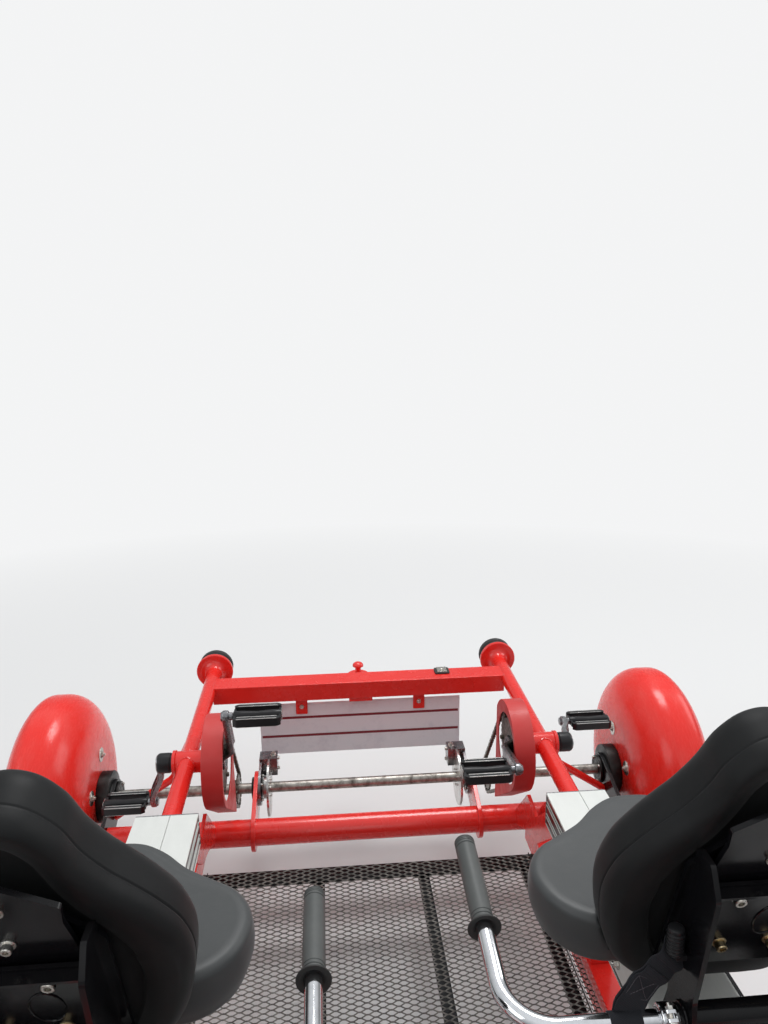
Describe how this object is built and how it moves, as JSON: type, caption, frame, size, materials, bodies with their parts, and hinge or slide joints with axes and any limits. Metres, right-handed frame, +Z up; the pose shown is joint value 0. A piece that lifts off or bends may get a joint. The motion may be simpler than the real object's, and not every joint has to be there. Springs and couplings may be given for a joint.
{
  "type": "pedal rail bike",
  "caption": "Pedal driven rail bike with recumbent seats in two rows on a red tube frame, flanged wheels under domed covers and a mesh floor.",
  "frame": {"origin": "floor level midway between the wheels, at the bottom of the wheel flanges", "axes": "+X to the right, +Y forwards, +Z up"},
  "size_m": [1.67, 2.8, 0.9269],
  "materials": {
    "red_paint": "gloss",
    "cover_red": "gloss",
    "beam_aluminium": "satin",
    "dark_steel": "satin",
    "caliper_steel": "satin",
    "deck_mesh": "satin",
    "black_paint": "gloss",
    "rubber": "matte",
    "sign_white": "satin",
    "axle_steel": "satin",
    "wheel_steel": "satin",
    "crank_alloy": "polished",
    "black_plastic": "matte",
    "foam": "satin",
    "chrome": "polished"
  },
  "bodies": {
    "frame": {"cross_tubes": "red_paint", "longerons": "red_paint", "side_frame_left": "red_paint", "side_frame_right": "red_paint", "crossbars": "red_paint", "posts": "red_paint", "braces": "red_paint", "bearing_plates": "red_paint", "coupling_pins": "red_paint", "seat_beams": "beam_aluminium", "axle_bearings": "dark_steel", "brake_calipers": "caliper_steel", "deck": "deck_mesh", "deck_bars": "black_paint", "deck_runners": "black_paint", "side_steps": "deck_mesh", "buffers": "rubber", "sign_plate": "sign_white", "lever_bracket": "black_paint", "wheel_covers_front": "cover_red", "chains_front": "dark_steel", "chain_guards_front": "red_paint", "wheel_covers_rear": "cover_red", "chains_rear": "dark_steel", "chain_guards_rear": "red_paint"},
    "brake_lever": {"brake_lever": "black_paint"},
    "wheelset_front": {"axle_front": "axle_steel", "axle_fittings_front": "dark_steel", "wheels_front": "wheel_steel"},
    "wheelset_rear": {"axle_rear": "axle_steel", "axle_fittings_rear": "dark_steel", "wheels_rear": "wheel_steel"},
    "crank_front_left": {"crank_front_left": "crank_alloy"},
    "pedal_front_left_outer": {"pedal_front_left_outer": "black_plastic"},
    "pedal_front_left_inner": {"pedal_front_left_inner": "black_plastic"},
    "crank_front_right": {"crank_front_right": "crank_alloy"},
    "pedal_front_right_outer": {"pedal_front_right_outer": "black_plastic"},
    "pedal_front_right_inner": {"pedal_front_right_inner": "black_plastic"},
    "crank_rear_left": {"crank_rear_left": "crank_alloy"},
    "pedal_rear_left_outer": {"pedal_rear_left_outer": "black_plastic"},
    "pedal_rear_left_inner": {"pedal_rear_left_inner": "black_plastic"},
    "crank_rear_right": {"crank_rear_right": "crank_alloy"},
    "pedal_rear_right_outer": {"pedal_rear_right_outer": "black_plastic"},
    "pedal_rear_right_inner": {"pedal_rear_right_inner": "black_plastic"},
    "seat_front_left": {"seat_pan_front_left": "foam", "seat_back_front_left": "foam", "seat_bracket_front_left": "black_paint", "handlebar_front_left": "chrome"},
    "seat_front_right": {"seat_pan_front_right": "foam", "seat_back_front_right": "foam", "seat_bracket_front_right": "black_paint", "handlebar_front_right": "chrome"},
    "seat_rear_left": {"seat_pan_rear_left": "foam", "seat_back_rear_left": "foam", "seat_bracket_rear_left": "black_paint", "handlebar_rear_left": "chrome"},
    "seat_rear_right": {"seat_pan_rear_right": "foam", "seat_back_rear_right": "foam", "seat_bracket_rear_right": "black_paint", "handlebar_rear_right": "chrome"}
  },
  "joints": [
    {"name": "brake_lever_pull", "type": "hinge", "parent": "frame", "child": "brake_lever", "pos_m": [0, -0.56, 0.205], "axis": [1, 0, 0], "range_deg": [0, 35]},
    {"name": "wheelset_front_spin", "type": "hinge", "parent": "frame", "child": "wheelset_front", "pos_m": [0, 1.12, 0.215], "axis": [1, 0, 0], "continuous": true},
    {"name": "wheelset_rear_spin", "type": "hinge", "parent": "frame", "child": "wheelset_rear", "pos_m": [0, -1.12, 0.215], "axis": [1, 0, 0], "continuous": true},
    {"name": "crank_front_left_spin", "type": "hinge", "parent": "frame", "child": "crank_front_left", "pos_m": [-0.385, 0.902, 0.425], "axis": [1, 0, 0], "continuous": true},
    {"name": "pedal_front_left_outer_spin", "type": "hinge", "parent": "crank_front_left", "child": "pedal_front_left_outer", "pos_m": [-0.5455, 0.9855, 0.28037], "axis": [1, 0, 0], "continuous": true},
    {"name": "pedal_front_left_inner_spin", "type": "hinge", "parent": "crank_front_left", "child": "pedal_front_left_inner", "pos_m": [-0.2245, 0.8185, 0.56963], "axis": [1, 0, 0], "continuous": true},
    {"name": "crank_front_right_spin", "type": "hinge", "parent": "frame", "child": "crank_front_right", "pos_m": [0.385, 0.902, 0.425], "axis": [1, 0, 0], "continuous": true},
    {"name": "pedal_front_right_outer_spin", "type": "hinge", "parent": "crank_front_right", "child": "pedal_front_right_outer", "pos_m": [0.5455, 1.06404, 0.3846], "axis": [1, 0, 0], "continuous": true},
    {"name": "pedal_front_right_inner_spin", "type": "hinge", "parent": "crank_front_right", "child": "pedal_front_right_inner", "pos_m": [0.2245, 0.73996, 0.4654], "axis": [1, 0, 0], "continuous": true},
    {"name": "crank_rear_left_spin", "type": "hinge", "parent": "frame", "child": "crank_rear_left", "pos_m": [-0.385, -0.368, 0.425], "axis": [1, 0, 0], "continuous": true},
    {"name": "pedal_rear_left_outer_spin", "type": "hinge", "parent": "crank_rear_left", "child": "pedal_rear_left_outer", "pos_m": [-0.5455, -0.2312, 0.52079], "axis": [1, 0, 0], "continuous": true},
    {"name": "pedal_rear_left_inner_spin", "type": "hinge", "parent": "crank_rear_left", "child": "pedal_rear_left_inner", "pos_m": [-0.2245, -0.5048, 0.32921], "axis": [1, 0, 0], "continuous": true},
    {"name": "crank_rear_right_spin", "type": "hinge", "parent": "frame", "child": "crank_rear_right", "pos_m": [0.385, -0.368, 0.425], "axis": [1, 0, 0], "continuous": true},
    {"name": "pedal_rear_right_outer_spin", "type": "hinge", "parent": "crank_rear_right", "child": "pedal_rear_right_outer", "pos_m": [0.5455, -0.397, 0.26054], "axis": [1, 0, 0], "continuous": true},
    {"name": "pedal_rear_right_inner_spin", "type": "hinge", "parent": "crank_rear_right", "child": "pedal_rear_right_inner", "pos_m": [0.2245, -0.339, 0.58946], "axis": [1, 0, 0], "continuous": true},
    {"name": "seat_front_left_slide", "type": "slide", "parent": "frame", "child": "seat_front_left", "axis": [0, 1, 0], "range_m": [-0.075, 0.125]},
    {"name": "seat_front_right_slide", "type": "slide", "parent": "frame", "child": "seat_front_right", "axis": [0, 1, 0], "range_m": [-0.12, 0.08]},
    {"name": "seat_rear_left_slide", "type": "slide", "parent": "frame", "child": "seat_rear_left", "axis": [0, 1, 0], "range_m": [-0.05, 0.08]},
    {"name": "seat_rear_right_slide", "type": "slide", "parent": "frame", "child": "seat_rear_right", "axis": [0, 1, 0], "range_m": [-0.05, 0.08]}
  ]
}
